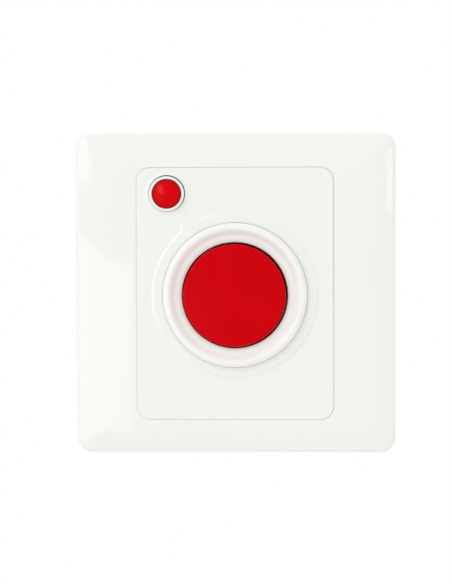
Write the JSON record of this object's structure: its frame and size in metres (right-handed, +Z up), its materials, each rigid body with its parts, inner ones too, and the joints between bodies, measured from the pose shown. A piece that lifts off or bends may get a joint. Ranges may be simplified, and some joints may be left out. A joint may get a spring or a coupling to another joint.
{
  "type": "nurse call button",
  "caption": "Square wall plate with a large round sprung push button in a collar, an indicator lamp, and a switch, board and terminals behind it.",
  "frame": {"origin": "centre of the wall plate, on the plane of the wall, midway between the two wall screws", "axes": "+X to the right seen from the front, +Y into the wall, +Z up; the button faces -Y"},
  "size_m": [0.086, 0.038, 0.086],
  "materials": {
    "white_moulding": "glossy",
    "chassis_moulding": "satin",
    "red_moulding": "glossy",
    "natural_moulding": "satin",
    "black_moulding": "satin",
    "green_moulding": "satin",
    "red_lens": "clear, glossy",
    "red_led": "clear, glossy",
    "seal_rubber": "matt",
    "spring_steel": "bright",
    "zinc_steel": "zinc plated",
    "tinned_metal": "tinned",
    "nickelled_brass": "nickel plated",
    "board_laminate": "solder resist",
    "resistor_lacquer": "lacquered",
    "capacitor_sleeve": "heat-shrunk sleeve"
  },
  "bodies": {
    "wall_unit": {"front_frame": "white_moulding", "chassis": "chassis_moulding", "centre_panel": "white_moulding", "button_collar": "white_moulding", "collar_seal": "seal_rubber", "return_spring": "spring_steel", "lamp_bezel": "white_moulding", "lamp_lens": "red_lens", "lamp_ring": "spring_steel", "lamp_led": "red_led", "led_leads": "tinned_metal", "led_spacer": "black_moulding", "circuit_board": "board_laminate", "switch_body": "black_moulding", "switch_pins": "tinned_metal", "terminal_block": "green_moulding", "terminal_cages": "nickelled_brass", "terminal_screws": "zinc_steel", "terminal_pins": "tinned_metal", "resistors": "resistor_lacquer", "diode": "black_moulding", "capacitor": "capacitor_sleeve", "board_screws": "zinc_steel", "rear_cover": "chassis_moulding", "cover_screws": "zinc_steel", "wall_screws": "zinc_steel"},
    "button": {"button_cap": "red_moulding", "button_stem": "natural_moulding", "stem_clip": "spring_steel"},
    "lever": {"switch_lever": "spring_steel"},
    "plunger": {"switch_plunger": "red_moulding"}
  },
  "joints": [
    {"name": "button_press", "type": "slide", "parent": "wall_unit", "child": "button", "axis": [0, 1, 0], "range_m": [0, 0.0025], "stiffness_N_per_m": 700, "springref_m": -0.003, "deforming": ["return_spring"]},
    {"name": "lever_swing", "type": "hinge", "parent": "wall_unit", "child": "lever", "pos_m": [-0.0095, 0.00762, -0.0003], "axis": [0, 0, 1], "range_deg": [0, 13.74]},
    {"name": "plunger_slide", "type": "slide", "parent": "wall_unit", "child": "plunger", "axis": [0, 1, 0], "range_m": [0, 0.00071]}
  ],
  "couplings": [
    {"joint": "lever_swing", "follows": "button_press", "rad_per_m": 95.901},
    {"joint": "plunger_slide", "follows": "button_press", "ratio": 0.28135}
  ]
}
